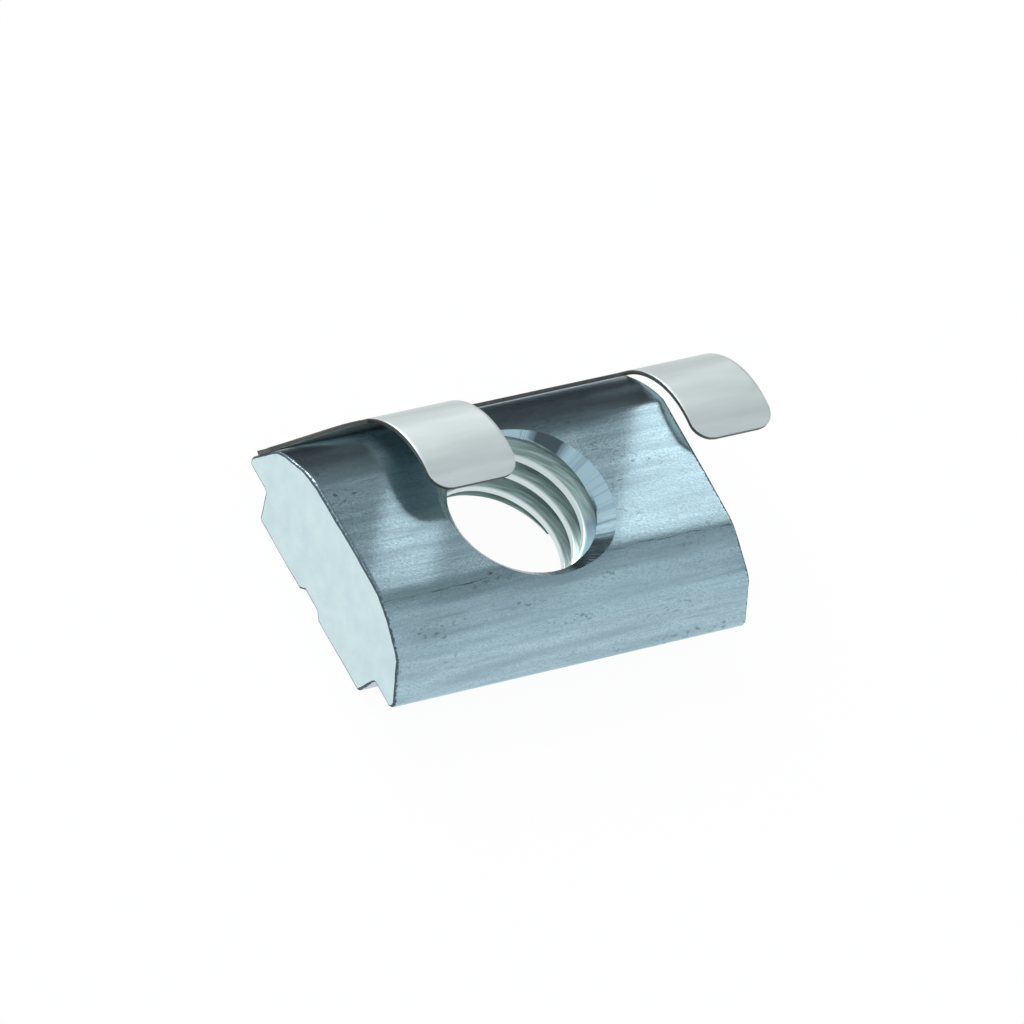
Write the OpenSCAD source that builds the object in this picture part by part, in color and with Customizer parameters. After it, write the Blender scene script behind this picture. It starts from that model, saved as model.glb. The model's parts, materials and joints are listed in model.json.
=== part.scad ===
// Swivel-in T-slot nut for a profile slot: a drawn steel bar, cut to length and tapped,
// with a leaf spring on one slanted side whose two fingers press the nut against the slot's lips.
// X runs along the bar, Z up out of the back. The origin is on the thread's axis, in the plane of the
// shoulders' lower faces, which bear on the slot's lips.

/* [Nut body] */
// Length of the bar
nut_l = 19; // [16:0.5:26]
// Width across the shoulders
nut_w = 13.8; // [13:0.1:16]
// Height from the collar's face to the flat of the back
nut_h = 5; // [4.8:0.1:6]
// Width of the flat along the back
back_w = 6.9; // [6:0.1:7.4]
// Drop from the back to the edge between the arched flank and the slanted side
flank_drop = 1.38; // [1.2:0.02:1.6]
// Radius of the arched flanks
flank_r = 7.6; // [5:0.1:12]
// Slope of the slanted sides, from the horizontal
side_slope = 60; // [56:1:64]
// Upright land at the tip of each shoulder
tip_land = 0.42; // [0.35:0.01:0.5]
// Rounding of the shoulders' lower edges
tip_r = 0.3; // [0.1:0.05:0.35]

/* [Collar] */
// Width of the collar's face
collar_w = 9.6; // [8.8:0.1:10]
// Height of the collar, from its face to the shoulders
collar_h = 1.45; // [1.2:0.05:1.6]
// Draft of the collar's flanks, from the vertical
collar_draft = 19; // [5:1:25]
// Rounding of the collar's edges and of the corners at its root
collar_r = 0.22; // [0.1:0.02:0.3]
// Width of the groove along the middle of the collar's face
groove_w = 1.8; // [1.2:0.1:2.4]
// Depth of that groove
groove_depth = 0.32; // [0.1:0.02:0.5]

/* [Thread] */
// Nominal diameter of the thread
thread_d = 8; // [6:1:8]
// Pitch of the thread
thread_pitch = 1.25; // [0.75:0.25:1.25]
// How much wider than the thread the countersink is at the back
back_sink = 0.6; // [0.2:0.1:1]
// How much narrower than the thread the countersink is at the collar's face
face_sink = 0.2; // [0:0.1:0.5]

/* [Leaf spring] */
// Thickness of the sheet
leaf_t = 0.2; // [0.15:0.01:0.3]
// Width of the strip that lies on the slanted side
strip_w = 0.75; // [0.6:0.05:0.9]
// Drop from the slanted side's top edge to the line where the fingers leave the strip
strip_drop = 0.68; // [0.5:0.02:0.8]
// Distance from the bar's end to the first finger
finger_start = 4.6; // [3:0.1:6]
// Distance from one finger to the next
finger_pitch = 14.5; // [12:0.1:16]
// Width of the first finger
first_w = 4.6; // [4:0.05:6]
// Width of the second finger
second_w = 4.35; // [4:0.05:6]
// How much steeper than the slanted side the first finger rises
first_lean = 21; // [0:1:24]
// How much steeper than the slanted side the second finger rises
second_lean = 0; // [0:1:24]
// Straight length of a finger above its root
finger_rise = 0.6; // [0.5:0.05:1]
// Radius of the bends at the root, at the middle of the sheet
root_r = 0.9; // [0.6:0.05:1.5]
// How much flatter than the slanted side the long arch starts
arch_ease = 3; // [0:1:6]
// Radius of the long arch
arch_r = 4.4; // [4.2:0.1:5.6]
// Slope at the far end of the arch, where the finger dips towards the back
dip_slope = -12; // [-14:1:-8]
// Radius of the slight bend in front of the tip
flare_r = 1; // [0.6:0.1:2]
// Slope of the flat tip
tip_slope = -6; // [-7:1:10]
// Length of the flat tip
tip_l = 0.7; // [0.4:0.1:1]
// Rounding of a finger's corners
corner_r = 0.98; // [0.4:0.02:1.6]
// Climb of the web in front of the first finger, from the strip to the finger's edge
web_climb = 1.35; // [0.8:0.05:1.5]
// Rounding between the strip and the fingers
fillet_r = 0.5; // [0.3:0.05:0.8]

/* [Hidden] */
$fn = 96;
zinc = [0.72, 0.79, 0.82];
stainless = [0.8, 0.8, 0.79];
// How far a cutter runs past the surface that it cuts
past = 0.5;
// How far a web of the leaf spring runs on into its finger
web_lap = 0.3;
// Depth of an internal thread, as a share of its pitch
thread_depth = 0.54127;

// Section of the bar, right-hand half, as points in Y and Z
half_w = nut_w / 2;
face_z = -collar_h;
back_z = nut_h - collar_h;
draft = [sin(collar_draft), cos(collar_draft)];
collar_edge = [collar_w / 2, face_z];
collar_root = collar_edge + collar_h / draft[1] * draft;
tip_low = [half_w, 0];
tip_high = [half_w, tip_land];
side_l = (back_z - flank_drop - tip_land) / sin(side_slope);
side_top = tip_high + side_l * along(side_slope);
back_edge = [back_w / 2, back_z];

// The flank's arc spans the chord from the side's top edge to the edge of the back
chord = back_edge - side_top;
chord_out = [chord[1], -chord[0]] / norm(chord);
flank_reach = sqrt(flank_r * flank_r - chord * chord / 4);
flank_centre = (side_top + back_edge) / 2 - flank_reach * chord_out;
flank_apex = flank_centre + flank_r * flank_r / flank_reach * chord_out;

// The bore is at the thread's crests, and both countersinks are 90 degree cones
crest_r = thread_d / 2 - thread_depth * thread_pitch;
back_sink_r = (thread_d + back_sink) / 2;
face_sink_r = (thread_d - face_sink) / 2;

// Places of the leaf spring along X
leaf_x = -nut_l / 2;
first_x = leaf_x + finger_start;
second_x = first_x + finger_pitch;
leaf_end = second_x + second_w;

// Middle of the sheet where the fingers leave the strip
strip_rise = strip_drop / sin(side_slope);
root = side_top - strip_rise * along(side_slope) + leaf_t / 2 * outward(side_slope);
strip_foot = root - strip_w * along(side_slope);
// Largest turn from one point of a bend to the next
bend_step = 3;

// Direction up a surface of the given slope, towards the middle of the nut, and its outward normal
function along(slope) = [-cos(slope), sin(slope)];
function outward(slope) = [sin(slope), cos(slope)];

// Path of a finger in Y and Z, as runs from the strip's lower edge: [length] is straight, and
// [radius, slope] bends to that slope, with a negative radius for a bend that turns upwards
function finger_path(lean) = [
    [strip_w],
    [-root_r, side_slope + lean],
    [finger_rise],
    [root_r, side_slope - arch_ease],
    [arch_r, dip_slope],
    [-flare_r, tip_slope],
    [tip_l]
];
function run_end(p, slope, run) =
    len(run) == 1 ? p + run[0] * along(slope) : p + run[0] * (outward(run[1]) - outward(slope));
function run_slope(slope, run) = len(run) == 1 ? slope : run[1];
function path_slope(path, i) = i == 0 ? side_slope : run_slope(path_slope(path, i - 1), path[i - 1]);
function path_point(path, i) =
    i == 0 ? strip_foot : run_end(path_point(path, i - 1), path_slope(path, i - 1), path[i - 1]);
// Points of one run on a surface that lies the given distance outside the middle of the sheet
function run_points(p, slope, run, out) =
    let (
        turn = run_slope(slope, run) - slope,
        steps = ceil(abs(turn) / bend_step),
        centre = p - run[0] * outward(slope)
    )
    turn == 0
        ? [run_end(p, slope, run) + out * outward(slope)]
        : [for (k = [1 : steps]) centre + (run[0] + out) * outward(slope + turn * k / steps)];
function skin_points(path, out) = concat(
    [path_point(path, 0) + out * outward(side_slope)],
    [for (i = [0 : len(path) - 1]) each run_points(path_point(path, i), path_slope(path, i), path[i], out)]
);
function reversed(points) = [for (i = [len(points) - 1 : -1 : 0]) points[i]];
function mirrored(points) = [for (i = [len(points) - 1 : -1 : 0]) [-points[i][0], points[i][1]]];

// Draws a shape and its mirror image across the middle plane
module both_sides() {
    children();
    mirror([1, 0]) children();
}

// What lies between a corner at p and its rounding of radius r; u and v point along the two edges
module corner(p, u, v, r) {
    half = acos(u * v) / 2;
    middle = (u + v) / norm(u + v);
    difference() {
        polygon([p + r / tan(half) * u, p - past * middle, p + r / tan(half) * v]);
        translate(p + r / sin(half) * middle) circle(r);
    }
}

// Carries a shape drawn in Y and Z along X, from x over the length l
module along_bar(x, l) {
    translate([x, 0, 0]) rotate([90, 0, 90]) linear_extrude(l) children();
}

// Outline of the bar before its collar is formed and its edges are rounded
module bar_outline() {
    half = [[half_w, face_z], tip_high, side_top, flank_apex, back_edge];
    polygon(concat(half, mirrored(half)));
}

// Space under a shoulder, beside the collar, with the corner at the collar's root rounded
module shoulder_step() {
    foot = collar_edge - past * draft;
    difference() {
        polygon([foot, collar_root, [half_w + past, 0], [half_w + past, foot[1]]]);
        corner(collar_root, -draft, [1, 0], collar_r);
    }
}

// Section of the drawn bar
module bar_section() {
    groove_foot = groove_w - 2 * groove_depth;
    difference() {
        bar_outline();
        both_sides() {
            shoulder_step();
            difference() {
                polygon([side_top, flank_apex + past * chord_out, back_edge]);
                translate(flank_centre) circle(flank_r);
            }
            corner(collar_edge, [-1, 0], draft, collar_r);
            corner(tip_low, [-1, 0], [0, 1], tip_r);
        }
        polygon([
            [-groove_w / 2 - past, face_z - past],
            [groove_w / 2 + past, face_z - past],
            [groove_foot / 2, face_z + groove_depth],
            [-groove_foot / 2, face_z + groove_depth]
        ]);
    }
}

module nut_body() {
    color(zinc) difference() {
        along_bar(-nut_l / 2, nut_l) bar_section();
        translate([0, 0, face_z - past]) cylinder(h = nut_h + 2 * past, r = crest_r);
        translate([0, 0, face_z - past])
            cylinder(h = face_sink_r + past - crest_r, r1 = face_sink_r + past, r2 = crest_r);
        translate([0, 0, back_z - back_sink_r + crest_r])
            cylinder(h = back_sink_r + past - crest_r, r1 = crest_r, r2 = back_sink_r + past);
    }
}

// Sheet bent along a path, from x over the length l
module formed_sheet(x, l, path) {
    along_bar(x, l) polygon(concat(skin_points(path, leaf_t / 2), reversed(skin_points(path, -leaf_t / 2))));
}

// Cutter that rounds a corner of a finger's tip at x; turn points from that edge to the finger's middle
module tip_corner(path, x, turn) {
    tip = path_point(path, len(path));
    translate([x, tip[0], tip[1]]) rotate([-tip_slope, 0, 0]) difference() {
        translate([turn > 0 ? -past : -corner_r, -past, -corner_r])
            cube([corner_r + past, corner_r + past, 2 * corner_r]);
        translate([turn * corner_r, corner_r, -corner_r - past])
            cylinder(h = 2 * (corner_r + past), r = corner_r);
    }
}

// Finger of the width w with its left edge at x
module finger(x, w, lean) {
    path = finger_path(lean);
    difference() {
        formed_sheet(x, w, path);
        tip_corner(path, x, 1);
        tip_corner(path, x + w, -1);
    }
}

// Web of sheet beside a finger: what lies under an outline drawn in X and Z
module web(x, l, lean) {
    intersection() {
        formed_sheet(x, l, finger_path(lean));
        translate([0, nut_w, 0]) rotate([90, 0, 0]) linear_extrude(nut_w) children();
    }
}

// Outline of the fillet between the strip's edge and a finger's edge at x; turn points off the finger
module fillet_outline(x, turn) {
    difference() {
        translate([turn > 0 ? x - web_lap : x - fillet_r, 0])
            square([fillet_r + web_lap, root[1] + fillet_r]);
        translate([x + turn * fillet_r, root[1] + fillet_r]) circle(fillet_r);
    }
}

module leaf_spring() {
    color(stainless) union() {
        formed_sheet(leaf_x, leaf_end - leaf_x, [[strip_w]]);
        finger(first_x, first_w, first_lean);
        finger(second_x, second_w, second_lean);
        web(leaf_x, finger_start + web_lap, first_lean) polygon([
            [leaf_x, 0],
            [first_x + web_lap, 0],
            [first_x + web_lap, root[1] + web_climb],
            [first_x, root[1] + web_climb],
            [leaf_x, root[1] + leaf_t]
        ]);
        web(first_x + first_w - web_lap, fillet_r + web_lap, first_lean)
            fillet_outline(first_x + first_w, 1);
        web(second_x - fillet_r, fillet_r + web_lap, second_lean) fillet_outline(second_x, -1);
    }
}

nut_body();
leaf_spring();
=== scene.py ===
# Profile t-nut: a zinc-plated drawn bar with a tapped hole, and a stainless leaf spring on its far side
import json
import math

import bmesh
import bpy
import numpy as np
from mathutils import Matrix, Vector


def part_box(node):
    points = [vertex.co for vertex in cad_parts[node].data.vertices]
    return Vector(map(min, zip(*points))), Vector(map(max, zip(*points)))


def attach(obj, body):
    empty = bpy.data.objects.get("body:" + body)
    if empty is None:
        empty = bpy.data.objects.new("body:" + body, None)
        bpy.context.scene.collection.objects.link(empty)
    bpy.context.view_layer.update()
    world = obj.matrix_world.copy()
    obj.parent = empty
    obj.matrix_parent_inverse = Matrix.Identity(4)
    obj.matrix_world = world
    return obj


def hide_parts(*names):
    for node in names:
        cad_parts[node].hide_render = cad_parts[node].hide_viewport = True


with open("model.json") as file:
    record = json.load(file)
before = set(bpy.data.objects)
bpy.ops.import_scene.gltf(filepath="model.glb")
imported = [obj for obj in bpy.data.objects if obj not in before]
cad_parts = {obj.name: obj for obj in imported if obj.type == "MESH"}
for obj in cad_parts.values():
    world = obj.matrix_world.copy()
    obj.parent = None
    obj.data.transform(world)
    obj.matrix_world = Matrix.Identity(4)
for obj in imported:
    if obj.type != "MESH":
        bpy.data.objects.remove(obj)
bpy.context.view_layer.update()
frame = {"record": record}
mm = 0.001  # shapes below are worked out in millimetres
weld = 0.0005  # mm, points closer than this become one
print("frame loaded")


# Shared helpers

def hexColour(text):
    # sRGB hex to linear RGBA
    srgb = np.array([int(text[i:i + 2], 16) for i in (1, 3, 5)]) / 255
    linear = np.where(srgb <= 0.04045, srgb / 12.92, ((srgb + 0.055) / 1.055) ** 2.4)
    return (*linear.tolist(), 1.0)


def addNode(tree, kind, inputs, **settings):
    # one node with its own settings; an input is a value, or the socket that it is linked from
    node = tree.nodes.new(kind)
    for name, value in settings.items():
        setattr(node, name, value)
    for socket, source in inputs.items():
        if isinstance(source, bpy.types.NodeSocket):
            tree.links.new(source, node.inputs[socket])
        else:
            node.inputs[socket].default_value = source
    return node


def smoothStep(low, high, x):
    # 0 below low, 1 above high, 3 t^2 - 2 t^3 between them
    t = np.clip((x - low) / (high - low), 0, 1)
    return t * t * (3 - 2 * t)


def gridFaces(rows, cols, first=0):
    # quads between neighbouring rows and columns of a grid whose points start at index first
    r, c = np.meshgrid(np.arange(rows - 1), np.arange(cols - 1), indexing="ij")
    low = first + r * cols + c
    return np.stack([low, low + 1, low + cols + 1, low + cols], -1).reshape(-1, 4)


def addPiece(name, points, faces, materials):
    # a mesh object at the origin, from points in millimetres
    mesh = bpy.data.meshes.new(name)
    mesh.from_pydata((points * mm).tolist(), [], faces)
    for material in materials:
        mesh.materials.append(material)
    piece = bpy.data.objects.new(name, mesh)
    bpy.context.scene.collection.objects.link(piece)
    return piece


def mergeDoubles(mesh):
    # closes seams, and drops the faces that clipping has shrunk to nothing
    work = bmesh.new()
    work.from_mesh(mesh)
    bmesh.ops.remove_doubles(work, verts=work.verts, dist=weld * mm)
    bmesh.ops.dissolve_degenerate(work, edges=work.edges, dist=weld * mm)
    bmesh.ops.recalc_face_normals(work, faces=work.faces)
    work.to_mesh(mesh)
    work.free()


def along(slope):
    # direction up a surface of that slope in degrees, towards the nut's middle, in Y and Z
    s = np.radians(slope)
    return np.stack([-np.cos(s), np.sin(s)], -1)


def outward(slope):
    # normal of the same surface
    s = np.radians(slope)
    return np.stack([np.sin(s), np.cos(s)], -1)


def lookFrom(place, back, up):
    # matrix of a camera or lamp at a place in metres, whose own Z points along back
    back = np.array(back) / np.linalg.norm(back)
    right = np.cross(up, back)
    right = right / np.linalg.norm(right)
    turn = np.eye(4)
    turn[:3, :3] = np.stack([right, np.cross(back, right), back], 1)
    turn[:3, 3] = place
    return Matrix(turn.tolist())


# Camera

view = {
    "eye": (-234.61, -180.81, 312.53),  # mm
    "back": (-0.5467, -0.4219, 0.7232),  # from the nut to the lens
    "up": (0.1824, 0.783, 0.5947),
    "lens": 342.1,
    "sensor": 36.0,
    "clip": (0.01, 10),  # m
}


def addCamera(v):
    lens = bpy.data.cameras.new("photoCamera")
    lens.lens, lens.sensor_width = v["lens"], v["sensor"]
    lens.clip_start, lens.clip_end = v["clip"]
    camera = bpy.data.objects.new("photoCamera", lens)
    camera.matrix_world = lookFrom(np.array(v["eye"]) * mm, v["back"], v["up"])
    bpy.context.scene.collection.objects.link(camera)
    bpy.context.scene.camera = camera


addCamera(view)
print("camera set")


# Materials

def newMaterial(name):
    # an empty node tree with its output
    material = bpy.data.materials.new(name)
    material.use_nodes = True
    tree = material.node_tree
    tree.nodes.clear()
    output = tree.nodes.new("ShaderNodeOutputMaterial")
    return material, tree, output


def grain(tree, place, size, stretch=(1, 1, 1), detail=2.0, offset=(0, 0, 0), between=None):
    # noise whose lumps are size mm across, drawn out along an axis by a stretch above 1;
    # with two levels in between it is 0 below the first and 1 above the second
    scale = [1 / (size * mm * s) for s in stretch]
    moved = addNode(tree, "ShaderNodeMapping", {"Vector": place, "Scale": scale, "Location": offset})
    noise = addNode(tree, "ShaderNodeTexNoise", {
        "Vector": moved.outputs[0], "Scale": 1.0, "Detail": detail,
    }).outputs["Fac"]
    if between is None:
        return noise
    return addNode(tree, "ShaderNodeMapRange", {
        "Value": noise, "From Min": between[0], "From Max": between[1],
    }).outputs["Result"]


zincSkin = {
    "clear": "#b9d5df",  # bright plate, blue passivated
    "cloud": "#adc8d2",  # where the plate is a little thicker
    "band": "#9ab2bc",  # dull bands that the drawing die leaves along the bar
    "speck": "#8aa5b0",  # fine dark grain of the drawn steel under it
    "scuff": "#58676e",  # rubbed and pitted spots
    "roughness": (0.2, 0.27),
    "edgeRoughness": 0.35,  # added where an edge is rubbed or chipped
    # patterns, by the size of their lumps in mm, most of them drawn out along the bar
    "clouds": {"size": 1.6, "stretch": (4, 1, 1), "detail": 4.0},
    "cloudLevels": (0.35, 0.65),
    "bands": {
        "size": 0.5, "stretch": (14, 1, 1), "detail": 5.0, "offset": (7, 3, 5), "between": (0.42, 0.72),
    },
    "specks": {"size": 0.06, "stretch": (2.2, 1, 1), "detail": 3.0, "between": (0.42, 0.8)},
    "streaks": {
        "size": 0.16, "stretch": (14, 1, 1), "detail": 3.0, "offset": (5, 2, 0), "between": (0.5, 0.85),
    },
    "pits": {"size": 0.16, "stretch": (1.8, 1, 1), "detail": 3.0, "between": (0.56, 0.68)},
    "pitted": {"size": 1.5, "stretch": (2.6, 1, 1), "offset": (3, 1, 7), "between": (0.52, 0.7)},  # patches
    "peel": {"size": 0.11, "stretch": (1.3, 1, 1)},  # orange peel of the plated skin
    "peelDepth": 0.0025,  # mm
    "drawLines": {"size": 0.2, "stretch": (40, 1, 1), "detail": 3.0},  # left by the drawing die
    "drawDepth": 0.0006,  # mm
    # rubbed line along the back's edge on the plain side
    "waver": {"size": 0.3, "stretch": (3, 1, 1), "detail": 3.0, "offset": (1, 4, 2)},
    "waverWidth": 0.3,  # mm
    "lineHalf": 0.025,  # mm, half of its width
    "breaks": {
        "size": 0.4, "stretch": (3, 1, 1), "detail": 3.0, "offset": (2, 8, 3), "between": (0.3, 0.62),
    },
    # chipped edges of the ends
    "chips": {"size": 0.12, "detail": 3.0},
    "chipReach": 0.25,  # mm
    "chipFade": (0.02, 0.07),  # mm off that reach, from plate to bare steel
}


def zincDrawn(look, b):
    # zinc plate on drawn steel, blue passivated: bright and faintly blue, with fine dark grain, dull bands
    # and draw lines along X, and darker steel where edges are rubbed or chipped
    material, tree, output = newMaterial("zinc_plate_drawn_steel")
    place = addNode(tree, "ShaderNodeTexCoord", {}).outputs["Object"]
    axes = addNode(tree, "ShaderNodeSeparateXYZ", {0: place}).outputs
    # rubbed line: where -y and a waver together come to the back's edge, broken up along X
    side = addNode(tree, "ShaderNodeMath", {0: axes["Y"], 1: -1.0}, operation="MULTIPLY").outputs[0]
    wavering = addNode(tree, "ShaderNodeMath", {
        0: grain(tree, place, **look["waver"]), 1: look["waverWidth"] * mm, 2: side,
    }, operation="MULTIPLY_ADD").outputs[0]
    line = addNode(tree, "ShaderNodeMath", {
        0: wavering, 1: (b["backWidth"] + look["waverWidth"]) / 2 * mm, 2: look["lineHalf"] * mm,
    }, operation="COMPARE").outputs[0]
    rubbed = addNode(tree, "ShaderNodeMath", {
        0: line, 1: grain(tree, place, **look["breaks"]),
    }, operation="MULTIPLY").outputs[0]
    # chips: where |x| and a lumpy reach together pass the end
    fromMiddle = addNode(tree, "ShaderNodeMath", {0: axes["X"]}, operation="ABSOLUTE").outputs[0]
    ragged = addNode(tree, "ShaderNodeMath", {
        0: grain(tree, place, **look["chips"]), 1: look["chipReach"] * mm, 2: fromMiddle,
    }, operation="MULTIPLY_ADD").outputs[0]
    chipped = addNode(tree, "ShaderNodeMapRange", {
        "Value": ragged,
        "From Min": (b["length"] / 2 + look["chipFade"][0]) * mm,
        "From Max": (b["length"] / 2 + look["chipFade"][1]) * mm,
    }).outputs["Result"]
    edges = addNode(tree, "ShaderNodeMath", {0: rubbed, 1: chipped}, operation="MAXIMUM").outputs[0]
    spots = addNode(tree, "ShaderNodeMath", {
        0: grain(tree, place, **look["pits"]), 1: grain(tree, place, **look["pitted"]),
    }, operation="MULTIPLY").outputs[0]
    worn = addNode(tree, "ShaderNodeMath", {0: spots, 1: edges}, operation="MAXIMUM").outputs[0]
    # colours, each laid over those before it
    clouds = grain(tree, place, **look["clouds"])
    cloudy = addNode(tree, "ShaderNodeMapRange", {
        "Value": clouds, "From Min": look["cloudLevels"][0], "From Max": look["cloudLevels"][1],
    }).outputs["Result"]
    dark = addNode(tree, "ShaderNodeMath", {
        0: grain(tree, place, **look["specks"]), 1: grain(tree, place, **look["streaks"]),
    }, operation="MAXIMUM").outputs[0]
    bands = grain(tree, place, **look["bands"])
    colour = hexColour(look["clear"])
    for name, share in (("cloud", cloudy), ("band", bands), ("speck", dark), ("scuff", worn)):
        colour = addNode(tree, "ShaderNodeMix", {
            "Factor": share, "A": colour, "B": hexColour(look[name]),
        }, data_type="RGBA").outputs["Result"]
    sheen = addNode(tree, "ShaderNodeMapRange", {
        "Value": clouds, "To Min": look["roughness"][0], "To Max": look["roughness"][1],
    })
    rough = addNode(tree, "ShaderNodeMath", {
        0: edges, 1: look["edgeRoughness"], 2: sheen.outputs[0],
    }, operation="MULTIPLY_ADD")
    drawn = addNode(tree, "ShaderNodeBump", {
        "Height": grain(tree, place, **look["drawLines"]), "Distance": look["drawDepth"] * mm,
    })
    peeled = addNode(tree, "ShaderNodeBump", {
        "Height": grain(tree, place, **look["peel"]), "Distance": look["peelDepth"] * mm,
        "Normal": drawn.outputs[0],
    })
    shader = addNode(tree, "ShaderNodeBsdfPrincipled", {
        "Base Color": colour, "Metallic": 1.0, "Roughness": rough.outputs[0], "Normal": peeled.outputs[0],
    })
    tree.links.new(shader.outputs[0], output.inputs["Surface"])
    return material


zincEnd = {
    "light": "#d8ecee", "dark": "#cee3e8",
    "mottle": {"size": 0.9, "detail": 4.0, "between": (0.3, 0.7)},
    "tooth": {"size": 0.12},
    "toothDepth": 0.003,  # mm
    "roughness": 0.5,
}


def zincCut(look):
    # the same plate on the cropped ends: matte and even, because the torn metal under it is rough
    material, tree, output = newMaterial("zinc_plate_cropped_end")
    place = addNode(tree, "ShaderNodeTexCoord", {}).outputs["Object"]
    plate = addNode(tree, "ShaderNodeMix", {
        "Factor": grain(tree, place, **look["mottle"]),
        "A": hexColour(look["light"]), "B": hexColour(look["dark"]),
    }, data_type="RGBA")
    bump = addNode(tree, "ShaderNodeBump", {
        "Height": grain(tree, place, **look["tooth"]), "Distance": look["toothDepth"] * mm,
    })
    shader = addNode(tree, "ShaderNodeBsdfPrincipled", {
        "Base Color": plate.outputs["Result"], "Metallic": 1.0,
        "Roughness": look["roughness"], "Normal": bump.outputs[0],
    })
    tree.links.new(shader.outputs[0], output.inputs["Surface"])
    return material


zincThread = {
    "light": "#b9cecc", "dark": "#869c9a",
    "crestHighlight": "#e6f2f2",  # painted highlight on the crests
    "paintedShade": "#566a73",  # painted shade over the top turns, on one side of the hole
    "rings": {"size": 0.05, "stretch": (30, 30, 1), "detail": 3.0},
    "ringLevels": (0.35, 0.65),
    "ringDepth": 0.003,  # mm
    "crestFade": (0.02, 0.08),  # mm outside the crests' radius, from painted highlight to plain
    "shadeFade": (0.12, 0.24),  # mm above the last crest's middle, from plain to painted shade
    "shadeMiddle": -1.3,  # radians round the hole from +X, the middle of the painted shade
    "shadeEnds": (1.35, 0.95),  # radians either way, from plain to painted shade
    "roughness": 0.48,
}


def zincTapped(look, h):
    # thin plate in the tapped hole: greener than outside, fine rings left by the tap, and a painted highlight
    # on the crests;
    # above the last whole crest, z = startZ + pitch angle / turn, a stretch round the hole is painted shade
    material, tree, output = newMaterial("zinc_plate_tapped_thread")
    place = addNode(tree, "ShaderNodeTexCoord", {}).outputs["Object"]
    axes = addNode(tree, "ShaderNodeSeparateXYZ", {0: place}).outputs
    rings = grain(tree, place, **look["rings"])
    ringed = addNode(tree, "ShaderNodeMapRange", {
        "Value": rings, "From Min": look["ringLevels"][0], "From Max": look["ringLevels"][1],
    }).outputs["Result"]
    plate = addNode(tree, "ShaderNodeMix", {
        "Factor": ringed, "A": hexColour(look["light"]), "B": hexColour(look["dark"]),
    }, data_type="RGBA").outputs["Result"]
    # painted highlight: the crests are coloured lighter, fading out just past their radius
    level = addNode(tree, "ShaderNodeVectorMath", {0: place, 1: (1, 1, 0)}, operation="MULTIPLY").outputs[0]
    radius = addNode(tree, "ShaderNodeVectorMath", {0: level}, operation="LENGTH").outputs["Value"]
    offCrest = addNode(tree, "ShaderNodeMapRange", {
        "Value": radius,
        "From Min": (h["crest"] + look["crestFade"][0]) * mm,
        "From Max": (h["crest"] + look["crestFade"][1]) * mm,
    }).outputs["Result"]
    crestHighlight = addNode(tree, "ShaderNodeMix", {
        "Factor": offCrest, "A": hexColour(look["crestHighlight"]), "B": plate,
    }, data_type="RGBA").outputs["Result"]
    # painted shade: above the last whole crest, within a stretch round the hole
    angle = addNode(tree, "ShaderNodeMath", {0: axes["Y"], 1: axes["X"]}, operation="ARCTAN2").outputs[0]
    unwound = addNode(tree, "ShaderNodeMath", {
        0: angle, 1: -h["pitch"] * mm / (2 * math.pi), 2: axes["Z"],
    }, operation="MULTIPLY_ADD").outputs[0]
    above = addNode(tree, "ShaderNodeMapRange", {
        "Value": unwound,
        "From Min": (h["startZ"] + look["shadeFade"][0]) * mm,
        "From Max": (h["startZ"] + look["shadeFade"][1]) * mm,
    }).outputs["Result"]
    turned = addNode(tree, "ShaderNodeMath", {
        0: angle, 1: look["shadeMiddle"],
    }, operation="SUBTRACT").outputs[0]
    away = addNode(tree, "ShaderNodeMath", {0: turned}, operation="ABSOLUTE").outputs[0]
    within = addNode(tree, "ShaderNodeMapRange", {
        "Value": away, "From Min": look["shadeEnds"][0], "From Max": look["shadeEnds"][1],
    }).outputs["Result"]
    shadeShare = addNode(tree, "ShaderNodeMath", {0: above, 1: within}, operation="MULTIPLY").outputs[0]
    colour = addNode(tree, "ShaderNodeMix", {
        "Factor": shadeShare, "A": crestHighlight, "B": hexColour(look["paintedShade"]),
    }, data_type="RGBA").outputs["Result"]
    bump = addNode(tree, "ShaderNodeBump", {"Height": rings, "Distance": look["ringDepth"] * mm})
    shader = addNode(tree, "ShaderNodeBsdfPrincipled", {
        "Base Color": colour, "Metallic": 1.0, "Roughness": look["roughness"], "Normal": bump.outputs[0],
    })
    tree.links.new(shader.outputs[0], output.inputs["Surface"])
    return material


zincSink = {
    "light": "#a9c5d2", "dark": "#7f98a4",
    # dark patches; the one at -1.05 radians is painted shade
    "darkPatch": "#4a575e",
    "marks": {"Scale": 6.0, "Detail": 4.0, "Roughness": 0.7},  # noise round the hole, by the radian
    "markTurn": 0.28,  # radians
    "markLevels": (0.5, 0.72),
    "markDepth": 0.08,  # mm
    "darkPatches": ((0.77, 0), (-1.05, 0.15)),  # radians from +X to the middle, and added to each half; the second patch is painted shade
    "patchRagged": 0.2,  # radians
    "patchFade": (0.36, 0.24),  # radians from the middle, from plate to dark patch
    "roughness": 0.24,
}


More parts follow.
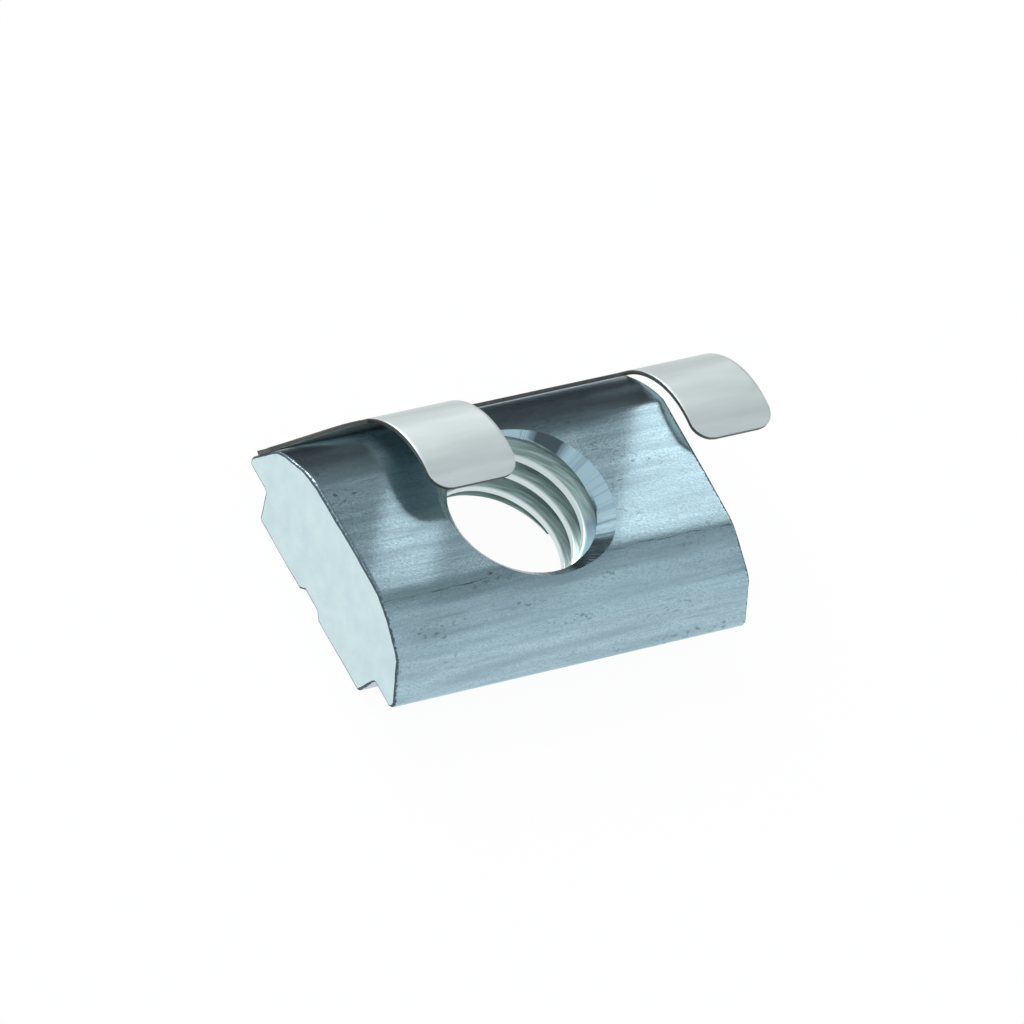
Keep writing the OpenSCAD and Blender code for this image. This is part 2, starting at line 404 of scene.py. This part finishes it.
def zincSunk(look):
    # plate on the countersinks: bluish, with the chatter marks of the tool running down the cone, and two
    # dark patches with ragged edges, round 0.77 and -1.05 radians from +X; the second is painted shade
    material, tree, output = newMaterial("zinc_plate_countersink")
    place = addNode(tree, "ShaderNodeTexCoord", {}).outputs["Object"]
    axes = addNode(tree, "ShaderNodeSeparateXYZ", {0: place}).outputs
    angle = addNode(tree, "ShaderNodeMath", {0: axes["Y"], 1: axes["X"]}, operation="ARCTAN2").outputs[0]
    turned = addNode(tree, "ShaderNodeMath", {0: angle, 1: look["markTurn"]}, operation="SUBTRACT").outputs[0]
    marks = addNode(tree, "ShaderNodeTexNoise", {
        "W": turned, **look["marks"],
    }, noise_dimensions="1D").outputs["Fac"]
    marked = addNode(tree, "ShaderNodeMapRange", {
        "Value": marks, "From Min": look["markLevels"][0], "From Max": look["markLevels"][1],
    }).outputs["Result"]
    # dark patches round the cone: the second, at -1.05 radians, is painted shade
    reaches = []
    for middle, longer in look["darkPatches"]:
        fromMiddle = addNode(tree, "ShaderNodeMath", {0: angle, 1: middle}, operation="SUBTRACT").outputs[0]
        away = addNode(tree, "ShaderNodeMath", {0: fromMiddle}, operation="ABSOLUTE").outputs[0]
        reaches.append(addNode(tree, "ShaderNodeMath", {0: away, 1: longer}, operation="SUBTRACT").outputs[0])
    nearest = addNode(tree, "ShaderNodeMath", dict(enumerate(reaches)), operation="MINIMUM").outputs[0]
    ragged = addNode(tree, "ShaderNodeMath", {
        0: marks, 1: look["patchRagged"], 2: nearest,
    }, operation="MULTIPLY_ADD").outputs[0]
    darkened = addNode(tree, "ShaderNodeMapRange", {
        "Value": ragged, "From Min": look["patchFade"][0], "From Max": look["patchFade"][1],
    }).outputs["Result"]
    colour = hexColour(look["light"])
    for name, share in (("dark", marked), ("darkPatch", darkened)):
        colour = addNode(tree, "ShaderNodeMix", {
            "Factor": share, "A": colour, "B": hexColour(look[name]),
        }, data_type="RGBA").outputs["Result"]
    bump = addNode(tree, "ShaderNodeBump", {"Height": marks, "Distance": look["markDepth"] * mm})
    shader = addNode(tree, "ShaderNodeBsdfPrincipled", {
        "Base Color": colour, "Metallic": 1.0, "Roughness": look["roughness"], "Normal": bump.outputs[0],
    })
    tree.links.new(shader.outputs[0], output.inputs["Surface"])
    return material


springStrip = {
    "light": "#dbe3e3", "dark": "#cfd8d7",
    "tone": {"size": 0.8, "stretch": (6, 1, 1), "between": (0.3, 0.7)},
    "rollLines": {"size": 0.07, "stretch": (60, 1, 1), "detail": 3.0},
    "rollDepth": 0.001,  # mm
    "roughness": 0.54,
}


def stainlessRolled(look):
    # cold-rolled stainless spring strip: satin, pale grey, with fine rolling lines along X
    material, tree, output = newMaterial("stainless_cold_rolled_strip")
    place = addNode(tree, "ShaderNodeTexCoord", {}).outputs["Object"]
    metal = addNode(tree, "ShaderNodeMix", {
        "Factor": grain(tree, place, **look["tone"]),
        "A": hexColour(look["light"]), "B": hexColour(look["dark"]),
    }, data_type="RGBA")
    bump = addNode(tree, "ShaderNodeBump", {
        "Height": grain(tree, place, **look["rollLines"]), "Distance": look["rollDepth"] * mm,
    })
    shader = addNode(tree, "ShaderNodeBsdfPrincipled", {
        "Base Color": metal.outputs["Result"], "Metallic": 1.0,
        "Roughness": look["roughness"], "Normal": bump.outputs[0],
    })
    tree.links.new(shader.outputs[0], output.inputs["Surface"])
    return material


springEdge = {
    # much darker than the rolled faces, partly as painted shade along the rims
    "light": "#6f706c", "dark": "#5a5b57",
    "tear": {"size": 0.05, "between": (0.35, 0.65)},
    "roughness": 0.5,
}


def stainlessSheared(look):
    # edges of the same strip, sheared and rougher than the rolled faces; their much darker colour is partly
    # painted shade
    material, tree, output = newMaterial("stainless_sheared_edge")
    place = addNode(tree, "ShaderNodeTexCoord", {}).outputs["Object"]
    metal = addNode(tree, "ShaderNodeMix", {
        "Factor": grain(tree, place, **look["tear"]),
        "A": hexColour(look["light"]), "B": hexColour(look["dark"]),
    }, data_type="RGBA")
    shader = addNode(tree, "ShaderNodeBsdfPrincipled", {
        "Base Color": metal.outputs["Result"], "Metallic": 1.0, "Roughness": look["roughness"],
    })
    tree.links.new(shader.outputs[0], output.inputs["Surface"])
    return material


# Drawn bar

barLow, barHigh = (np.array(c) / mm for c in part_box("nut_body"))
bar = {
    "length": barHigh[0] - barLow[0],
    "faceZ": barLow[2],
    "backZ": barHigh[2],
    "halfWidth": barHigh[1],
    "backWidth": 6.9,
    "flankDrop": 1.38,
    "flankRadius": 7.6,
    "sideSlope": 60,
    "tipLand": 0.42,
    "collarWidth": 9.6,
    "collarDraft": 19,
    "grooveWidth": 1.8,
    "grooveDepth": 0.32,
    "edgeRound": {"groove": 0.1, "collar": 0.22, "tipLow": 0.3, "tipHigh": 0.12, "side": 0.14},
    "backBlend": 3.5,  # radius between the back and each flank
    "endRound": 0.11,  # broken edge of the cropped ends
    "endWaver": 0.35,  # how unevenly it is broken
    "step": 0.3,  # largest gap between points
    "sharp": 30,  # degrees, edges that turn more than this stay sharp
    "crown": 0.05,  # how far the back's edges lie below its middle
    # cropping and punching press the back out of true: along a line at pressTurn degrees from X it rises,
    # falls from the first edge, rises from the second and falls from the third
    "pressTurn": -37,
    "pressEdges": (-6.24, -3.4, 4.4),  # mm from the hole's axis
    "pressReach": 12,  # mm, past every corner
    "pressFall": 0.04, "pressRise": 0.018,  # slopes
    "pressSoft": 0.5,  # mm, how softly one slope turns into the next
    "pressFlat": 2.6,  # mm before the third edge in which the crown and the far blend go
    "pressNear": 0.5,  # share of the near crown and blend that goes
    "pressFade": 0.3,  # mm below the back, where the press begins to die out towards the sides
}
sideLength = (bar["backZ"] - bar["flankDrop"] - bar["tipLand"]) / math.sin(math.radians(bar["sideSlope"]))
sideTop = np.array([bar["halfWidth"], bar["tipLand"]]) + sideLength * along(bar["sideSlope"])


def flankCentre(b):
    # centre of the arc of flankRadius through the side's top edge and the back's edge
    end = np.array([b["backWidth"] / 2, b["backZ"]])
    chord = end - sideTop
    out = np.array([chord[1], -chord[0]]) / np.linalg.norm(chord)
    reach = math.sqrt(b["flankRadius"] ** 2 - chord @ chord / 4)
    return (sideTop + end) / 2 - reach * out


def flankArc(b, count=12):
    # that arc up from the side's top edge, then the blend, which touches the arc from inside and the back
    centre = flankCentre(b)
    blendZ = b["backZ"] - b["backBlend"]
    blendY = centre[0] + math.sqrt((b["flankRadius"] - b["backBlend"]) ** 2 - (blendZ - centre[1]) ** 2)
    a0 = math.atan2(*(sideTop - centre)[::-1])
    a1 = math.atan2(blendZ - centre[1], blendY - centre[0])
    a = np.linspace(a0, a1, count + 1)[1:-1]
    c = np.linspace(a1, math.pi / 2, count)
    return np.concatenate([
        centre + b["flankRadius"] * np.stack([np.cos(a), np.sin(a)], 1),
        np.array([blendY, blendZ]) + b["backBlend"] * np.stack([np.cos(c), np.sin(c)], 1),
    ])


def roundCorner(before, corner, after, radius, degrees=12):
    # arc that touches both edges of a corner: centre on the bisector at radius / sin(half angle)
    u, v = ((p - corner) / np.linalg.norm(p - corner) for p in (before, after))
    half = math.acos(np.clip(u @ v, -1, 1)) / 2
    centre = corner + radius / math.sin(half) * (u + v) / np.linalg.norm(u + v)
    first, last = (corner + radius / math.tan(half) * w - centre for w in (u, v))
    turn = math.atan2(first[0] * last[1] - first[1] * last[0], first @ last)
    t = np.linspace(0, turn, max(3, int(abs(turn) / math.radians(degrees)) + 1))
    c, s = np.cos(t), np.sin(t)
    return centre + np.stack([c * first[0] - s * first[1], s * first[0] + c * first[1]], 1)


def barSection(b):
    # closed outline in Y and Z: half of it from the groove to the middle of the back, then its mirror image
    e = b["edgeRound"]
    foot = b["grooveWidth"] / 2 - b["grooveDepth"]
    flare = -b["faceZ"] * math.tan(math.radians(b["collarDraft"]))
    arc = flankArc(b)
    half = np.array([
        (foot, b["faceZ"] + b["grooveDepth"], e["groove"]),
        (b["grooveWidth"] / 2, b["faceZ"], e["groove"]),
        (b["collarWidth"] / 2, b["faceZ"], e["collar"]),
        (b["collarWidth"] / 2 + flare, 0, e["collar"]),
        (b["halfWidth"], 0, e["tipLow"]),
        (b["halfWidth"], b["tipLand"], e["tipHigh"]),
        (*sideTop, e["side"]),
        *np.column_stack([arc, np.zeros(len(arc))]),
    ])
    loop = np.concatenate([half, half[::-1] * (-1, 1, 1)])
    before, after = np.roll(loop, 1, 0), np.roll(loop, -1, 0)
    corners = [
        roundCorner(p[:2], c[:2], n[:2], c[2]) if c[2] > 0 else c[None, :2]
        for p, c, n in zip(before, loop, after)
    ]
    outline = np.concatenate(corners)
    gaps = np.linalg.norm(np.roll(outline, -1, 0) - outline, axis=1)
    parts = np.maximum(1, np.ceil(gaps / b["step"])).astype(int)
    start = np.repeat(np.arange(len(outline)), parts)
    share = np.concatenate([np.arange(n) / n for n in parts])[:, None]
    return outline[start] * (1 - share) + np.roll(outline, -1, 0)[start] * share


def backDrop(b, x, y, z):
    # how far the back lies below a true plane: the sum of its slopes along the press, and a crown across it
    u = np.linspace(-b["pressReach"], b["pressReach"], 1201)
    ramps = [smoothStep(-b["pressSoft"], b["pressSoft"], u - edge) for edge in b["pressEdges"]]
    falling = ramps[0] - ramps[1] + ramps[2]
    slope = b["pressFall"] * falling - b["pressRise"] * (1 - falling)
    fall = np.cumsum(slope) * (u[1] - u[0])
    turn = math.radians(b["pressTurn"])
    across = x * math.cos(turn) + y * math.sin(turn)
    pressed = np.interp(across, u, fall)
    crown = b["crown"] * np.minimum(2 * np.abs(y) / b["backWidth"], 1) ** 2
    # towards the third edge the back turns flat right up to the far flank, and partly so up to the near one
    centre = flankCentre(b)
    flank = centre[1] + np.sqrt(np.maximum(b["flankRadius"] ** 2 - (np.abs(y) - centre[0]) ** 2, 0))
    blend = np.maximum(np.minimum(flank, b["backZ"]) - z, 0)
    lastEdge = b["pressEdges"][2]
    share = b["pressNear"] + (1 - b["pressNear"]) * smoothStep(-b["backWidth"] / 2, 0, y)
    flat = share * smoothStep(lastEdge - b["pressFlat"], lastEdge, across)
    drop = pressed - pressed.min() + crown - (crown + blend) * flat
    return drop * smoothStep(sideTop[1], b["backZ"] - b["pressFade"], z)


def drawnBar(b):
    # the section carried along X; at each end it shrinks by a quarter round, endRound wide, whose width
    # wavers round the section as a sum of four sines
    section = barSection(b)
    tangent = np.roll(section, -1, 0) - np.roll(section, 1, 0)
    normal = np.stack([tangent[:, 1], -tangent[:, 0]], 1) / np.linalg.norm(tangent, axis=1)[:, None]
    t = np.arange(len(section)) / len(section) * 2 * np.pi
    waver = (np.sin(7 * t + 1) + np.sin(19 * t + 2) + 0.7 * np.sin(43 * t) + 0.5 * np.sin(71 * t + 4)) / 3.2
    edge = b["endRound"] * (1 + b["endWaver"] * waver)
    quarter = np.radians(np.linspace(0, 90, 6))[:, None]
    endX = b["length"] / 2 - edge * (1 - np.cos(quarter))
    inset = edge * (1 - np.sin(quarter))
    inner = b["length"] / 2 - 2 * b["endRound"]
    middleX = np.linspace(-inner, inner, int(2 * inner / b["step"]) + 2)[:, None] * np.ones(len(section))
    x = np.concatenate([-endX, middleX, endX[::-1]])
    shrink = np.concatenate([inset, 0 * middleX, inset[::-1]])[..., None]
    ring = section - shrink * normal
    y, z = ring[..., 0], ring[..., 1]
    points = np.stack([x, y, z - backDrop(b, x, y, z)], -1)
    rows, cols = x.shape
    quads = gridFaces(rows, cols + 1)
    wrapped = (quads // (cols + 1)) * cols + (quads % (cols + 1)) % cols
    caps = [np.arange(cols)[::-1].tolist(), (np.arange(cols) + (rows - 1) * cols).tolist()]
    return points.reshape(-1, 3), wrapped.tolist() + caps


# Tapped hole

threadMount = next(m for m in frame["record"]["mounts"] if m["name"] == "thread")
thread = {
    "crest": threadMount["dims"]["r_mm"],  # radius of the CAD bore, which is at the crests
    "pitch": 1.25,
    "depth": 0.54127,  # in pitches, as the next three
    "crestHalf": 0.125,  # half of a crest's flat
    "flank": 0.3125,  # a flank, along the hole
    # rows of points within one turn, from the middle of a crest: flat, flank, root and flank
    "phases": (0, 0.06, 0.11, 0.125, 0.14, 0.2, 0.27, 0.34, 0.41, 0.4375, 0.47,
               0.53, 0.5625, 0.59, 0.66, 0.73, 0.8, 0.86, 0.875, 0.89, 0.94),
    "spare": 2,  # whole turns past each end, clipped flat
    "startZ": 1.97,  # a crest passes here on the +X side
    "backSink": 8.6, "faceSink": 7.8,  # diameters of the 90 degree countersinks
    "columns": 240,  # points round one turn
    "past": 0.6,  # how far the cutter reaches past both faces
    "coneSlack": 0.02,  # faces this close to a cone are part of it
}


def threadCutter(h, b):
    # r(angle, z) is the widest of the thread and the two cones;
    # rows follow the helix z = startZ + pitch (row + angle / turn)
    low, high = b["faceZ"] - h["past"], b["backZ"] + h["past"]
    firstTurn = math.floor((low - h["startZ"]) / h["pitch"]) - h["spare"]
    lastTurn = math.ceil((high - h["startZ"]) / h["pitch"]) + h["spare"]
    rows = (np.arange(firstTurn, lastTurn)[:, None] + np.array(h["phases"])).ravel()[:, None]
    share = np.linspace(0, 1, h["columns"] + 1)[None, :]
    z = np.clip(h["startZ"] + h["pitch"] * (rows + share), low, high)
    turn = (z - h["startZ"]) / h["pitch"] - share
    fromCrest = np.abs((turn + 0.5) % 1 - 0.5)  # 0 at a crest's middle, 0.5 at a root's
    flank = np.clip((fromCrest - h["crestHalf"]) / h["flank"], 0, 1)
    r = h["crest"] + h["depth"] * h["pitch"] * flank
    r = np.maximum(r, h["backSink"] / 2 + z - b["backZ"])
    r = np.maximum(r, h["faceSink"] / 2 + b["faceZ"] - z)
    angle = 2 * np.pi * share
    points = np.stack([r * np.cos(angle), r * np.sin(angle), z], -1)
    rowCount, cols = z.shape
    last = (rowCount - 1) * cols
    caps = [np.arange(cols - 1)[::-1].tolist(), (np.arange(cols - 1) + last).tolist()]
    return points.reshape(-1, 3), gridFaces(rowCount, cols).tolist() + caps


def coneFaces(mesh, h, b):
    # true for faces whose middle lies on a countersink: at height z that is r = sink / 2 + z - backZ
    centres = np.empty(len(mesh.polygons) * 3)
    mesh.polygons.foreach_get("center", centres)
    x, y, z = centres.reshape(-1, 3).T / mm
    onBack = h["backSink"] / 2 + z - b["backZ"]
    onFace = h["faceSink"] / 2 + b["faceZ"] - z
    return np.maximum(onBack, onFace) > np.hypot(x, y) - h["coneSlack"]


def cutAway(piece, cutter):
    # takes the cutter's shape out of a piece for good
    cut = piece.modifiers.new("hole", "BOOLEAN")
    cut.object, cut.operation, cut.solver = cutter, "DIFFERENCE", "EXACT"
    made = bpy.data.meshes.new_from_object(piece.evaluated_get(bpy.context.evaluated_depsgraph_get()))
    piece.modifiers.clear()
    piece.data = made
    bpy.data.objects.remove(cutter)


finishes = {
    "skin": zincDrawn(zincSkin, bar),
    "end": zincCut(zincEnd),
    "thread": zincTapped(zincThread, thread),
    "sink": zincSunk(zincSink),
}
finishIndex = {name: i for i, name in enumerate(finishes)}
barPoints, barFaces = drawnBar(bar)
nut = addPiece("nut", barPoints, barFaces, finishes.values())
barFinish = np.full(len(barFaces), finishIndex["skin"])
barFinish[-2:] = finishIndex["end"]  # the two caps come last
nut.data.polygons.foreach_set("material_index", barFinish)
cutter = addPiece("cutter", *threadCutter(thread, bar), finishes.values())
mergeDoubles(cutter.data)
cutFinish = np.where(coneFaces(cutter.data, thread, bar), finishIndex["sink"], finishIndex["thread"])
cutter.data.polygons.foreach_set("material_index", cutFinish)
cutAway(nut, cutter)
nut.data.shade_smooth()
nut.data.set_sharp_from_angle(angle=math.radians(bar["sharp"]))
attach(nut, "root")
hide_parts("nut_body")
print("nut:", len(nut.data.polygons), "faces")


# Leaf spring

leafLow, leafHigh = (np.array(c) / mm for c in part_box("leaf_spring"))
leaf = {
    "left": leafLow[0], "right": leafHigh[0],
    "thick": 0.2,
    "stripWidth": 0.75, "stripDrop": 0.68,
    "fingerStart": 4.6, "fingerPitch": 14.5, "firstWidth": 4.6,
    "lean": (21, 0),  # how much steeper than the side each finger rises
    "rise": 0.6, "rootRadius": 0.9,
    "archSlope": 57, "archRadius": 4.4, "dipSlope": -12,
    "flareRadius": 1.0, "tipSlope": -6, "tipLength": 0.7,
    "corner": 0.98, "webClimb": 1.35, "fillet": 0.5,
    "step": 0.06,  # largest gap between points along a finger
    "columns": 28, "gapColumns": 20, "stripRows": 6,  # points across a finger, the gap and the strip
    "cutEdge": 0.03,  # rounding of the stamped edges
    "cutAngle": 50,  # degrees, edges that turn more than this are rounded
}
stripRise = leaf["stripDrop"] / math.sin(math.radians(bar["sideSlope"]))
leafRoot = sideTop - stripRise * along(bar["sideSlope"]) + leaf["thick"] / 2 * outward(bar["sideSlope"])
stripFoot = leafRoot - leaf["stripWidth"] * along(bar["sideSlope"])


def bentPath(start, slope, runs, step):
    # joins runs end to end: (length,) is straight, (radius, slope) bends to that slope, upwards if negative
    points, lengths = [start[None]], [np.zeros(1)]
    for run in runs:
        p, done = points[-1][-1], lengths[-1][-1]
        if len(run) == 1:
            d = np.linspace(0, run[0], max(2, math.ceil(run[0] / step) + 1))[1:]
            points.append(p + d[:, None] * along(slope))
        else:
            radius, target = run
            arc = abs(radius * math.radians(target - slope))
            slopes = np.linspace(slope, target, max(3, math.ceil(arc / step) + 1))[1:]
            points.append(p + radius * (outward(slopes) - outward(slope)))
            d = np.abs(radius * np.radians(slopes - slope))
            slope = target
        lengths.append(done + d)
    return np.concatenate(points), np.concatenate(lengths)


def fingerSheet(f, lean, left, right, web):
    # x runs from the left to the right edge, Y and Z follow the bent path;
    # rounded corners and fillets, r - sqrt(r^2 - (r - d)^2) at a distance d, move the edges
    runs = [
        (-f["rootRadius"], bar["sideSlope"] + lean) if lean else (f["step"],),
        (f["rise"],),
        (f["rootRadius"], f["archSlope"]),
        (f["archRadius"], f["dipSlope"]),
        (-f["flareRadius"], f["tipSlope"]),
        (f["tipLength"],),
    ]
    path, done = bentPath(leafRoot, bar["sideSlope"], runs, f["step"])
    climb = path[:, 1] - leafRoot[1]
    toTip = np.minimum(done[-1] - done, f["corner"])
    tipIn = f["corner"] - np.sqrt(f["corner"] ** 2 - (f["corner"] - toTip) ** 2)
    low = np.minimum(climb, f["fillet"])
    flare = f["fillet"] - np.sqrt(f["fillet"] ** 2 - (f["fillet"] - low) ** 2)
    if web:
        slant = np.clip((climb - f["thick"]) / (f["webClimb"] - f["thick"]), 0, 1)
        xLeft = f["left"] + slant * (left - f["left"]) + tipIn
        xRight = right + flare - tipIn
    else:
        xLeft, xRight = left - flare + tipIn, right - tipIn
    share = np.linspace(0, 1, f["columns"])
    x = xLeft[:, None] + share * (xRight - xLeft)[:, None]
    yz = np.broadcast_to(path[:, None, :], (*x.shape, 2))
    return np.concatenate([x[..., None], yz], -1)


def leafSpring(f):
    # two fingers on one strip, whose columns are those of their first rows and of the gap between them
    firstX = f["left"] + f["fingerStart"]
    secondX = firstX + f["fingerPitch"]
    first = fingerSheet(f, f["lean"][0], firstX, firstX + f["firstWidth"], True)
    second = fingerSheet(f, f["lean"][1], secondX, f["right"], False)
    gap = np.linspace(first[0, -1, 0], second[0, 0, 0], f["gapColumns"])[1:-1]
    stripX = np.concatenate([first[0, :, 0], gap, second[0, :, 0]])
    stripYz = np.linspace(stripFoot, leafRoot, f["stripRows"])
    strip = np.concatenate([
        np.broadcast_to(stripX[None, :, None], (f["stripRows"], len(stripX), 1)),
        np.broadcast_to(stripYz[:, None, :], (f["stripRows"], len(stripX), 2)),
    ], -1)
    points, faces = [], []
    for sheet in (strip, first, second):
        faces.append(gridFaces(*sheet.shape[:2], sum(len(p) for p in points))[:, ::-1])
        points.append(sheet.reshape(-1, 3))
    return np.concatenate(points), np.concatenate(faces).tolist()


leafFinishes = [stainlessRolled(springStrip), stainlessSheared(springEdge)]
spring = addPiece("leafSpring", *leafSpring(leaf), leafFinishes)
mergeDoubles(spring.data)
spring.data.shade_smooth()
wall = spring.modifiers.new("sheet", "SOLIDIFY")
wall.thickness, wall.offset, wall.use_even_offset = leaf["thick"] * mm, 0, True
wall.material_offset_rim = 1  # the sheared edges
edges = spring.modifiers.new("stampedEdges", "BEVEL")
edges.width, edges.segments, edges.limit_method = leaf["cutEdge"] * mm, 2, "ANGLE"
edges.angle_limit = math.radians(leaf["cutAngle"])
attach(spring, "root")
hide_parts("leaf_spring")
print("spring:", len(spring.data.polygons), "faces")


# Studio

studio = {
    "floor": 1.2,  # m across
    "floorGap": 0.01,  # mm, below the collar's face
    "paper": "#f4f4f4", "glow": "#ffffff",
    "floorGlow": 0.96,  # how much of the floor's white doesn't depend on the lamps
    "surround": "#e8eef0",  # level with the nut
    "zenith": "#868d90",
    "zenithDirection": (0.3546, 0.3938, 0.848),  # leans away from the lens
    "zenithEdge": (0.62, 1.0),  # cosines of the angles from it between which the studio turns grey
    "back": "#111415",
    "backDirection": (0.4997, 0.8655, 0.0349),  # the dark side, behind the nut
    "backEdge": (0.54, 0.985),  # the same for the turn to dark
    "card": ((-8, 17), (30, 17), 2.6),  # mm: foot from and to, and the top of the low black card
    # soft boxes that face the nut: degrees round from +X and up, metres away, metres wide and high
    "lamps": {
        "softBoxRight": {
            "azimuth": 29.5, "elevation": 39, "distance": 0.5, "size": (0.114, 0.145), "watts": 0.1,
        },
        "softBoxBack": {
            "azimuth": 90, "elevation": 33, "distance": 0.5, "size": (0.24, 0.28), "watts": 2.0,
        },
    },
}


def addFloor(s):
    # white sweep: mostly even white for the eye and for reflections, with the nut's soft shadow on it;
    # clear from below, so that the underside can be looked at
    half = s["floor"] / 2 / mm
    corners = np.array([(-half, -half, 0), (half, -half, 0), (half, half, 0), (-half, half, 0)])
    corners[:, 2] = bar["faceZ"] - s["floorGap"]
    material, tree, output = newMaterial("studio_floor")
    path = tree.nodes.new("ShaderNodeLightPath")
    seen = addNode(tree, "ShaderNodeMath", {
        0: path.outputs["Is Camera Ray"], 1: path.outputs["Is Glossy Ray"],
    }, operation="MAXIMUM")
    share = addNode(tree, "ShaderNodeMath", {0: seen.outputs[0], 1: s["floorGlow"]}, operation="MULTIPLY")
    paper = addNode(tree, "ShaderNodeBsdfDiffuse", {"Color": hexColour(s["paper"])})
    glow = addNode(tree, "ShaderNodeEmission", {"Color": hexColour(s["glow"]), "Strength": 1.0})
    sweep = addNode(tree, "ShaderNodeMixShader", {
        0: share.outputs[0], 1: paper.outputs[0], 2: glow.outputs[0],
    })
    below = tree.nodes.new("ShaderNodeNewGeometry").outputs["Backfacing"]
    clear = tree.nodes.new("ShaderNodeBsdfTransparent").outputs[0]
    oneSided = addNode(tree, "ShaderNodeMixShader", {0: below, 1: sweep.outputs[0], 2: clear})
    tree.links.new(oneSided.outputs[0], output.inputs["Surface"])
    floor = addPiece("studioFloor", corners, [[0, 1, 2, 3]], [material])


def addSurround(s):
    # pale studio round the nut, greyer overhead, dark behind it
    world = bpy.data.worlds.new("studio")
    bpy.context.scene.world = world
    world.use_nodes = True
    tree = world.node_tree
    tree.nodes.clear()
    output = tree.nodes.new("ShaderNodeOutputWorld")
    direction = tree.nodes.new("ShaderNodeTexCoord").outputs["Generated"]
    colour = hexColour(s["surround"])
    for name in ("zenith", "back"):
        cosine = addNode(tree, "ShaderNodeVectorMath", {
            0: direction, 1: s[name + "Direction"],
        }, operation="DOT_PRODUCT").outputs["Value"]
        low, high = s[name + "Edge"]
        turned = addNode(tree, "ShaderNodeMapRange", {"Value": cosine, "From Min": low, "From Max": high})
        colour = addNode(tree, "ShaderNodeMix", {
            "Factor": turned.outputs["Result"], "A": colour, "B": hexColour(s[name]),
        }, data_type="RGBA").outputs["Result"]
    sky = addNode(tree, "ShaderNodeBackground", {"Color": colour, "Strength": 1.0})
    tree.links.new(sky.outputs[0], output.inputs["Surface"])


def addCard(s):
    # low black card behind the nut, which keeps the floor out of the far flank; only reflections see it
    (x0, y0), (x1, y1), top = s["card"]
    corners = np.array([(x0, y0, bar["faceZ"]), (x1, y1, bar["faceZ"]), (x1, y1, top), (x0, y0, top)])
    material, tree, output = newMaterial("black_card")
    black = addNode(tree, "ShaderNodeBsdfDiffuse", {"Color": hexColour(s["back"])})
    tree.links.new(black.outputs[0], output.inputs["Surface"])
    card = addPiece("blackCard", corners, [[0, 1, 2, 3]], [material])
    card.visible_camera, card.visible_diffuse, card.visible_shadow = False, False, False


def addLamp(name, s):
    lamp = bpy.data.lights.new(name, "AREA")
    lamp.shape, lamp.energy = "RECTANGLE", s["watts"]
    lamp.size, lamp.size_y = s["size"]
    a, e = math.radians(s["azimuth"]), math.radians(s["elevation"])
    place = s["distance"] * np.array([math.cos(e) * math.cos(a), math.cos(e) * math.sin(a), math.sin(e)])
    box = bpy.data.objects.new(name, lamp)
    box.matrix_world = lookFrom(place, place, (0, 0, 1))
    bpy.context.scene.collection.objects.link(box)


addFloor(studio)
addSurround(studio)
addCard(studio)
for lampName, lampSet in studio["lamps"].items():
    addLamp(lampName, lampSet)
bpy.context.scene.view_settings.view_transform = "Standard"
print("studio lit")
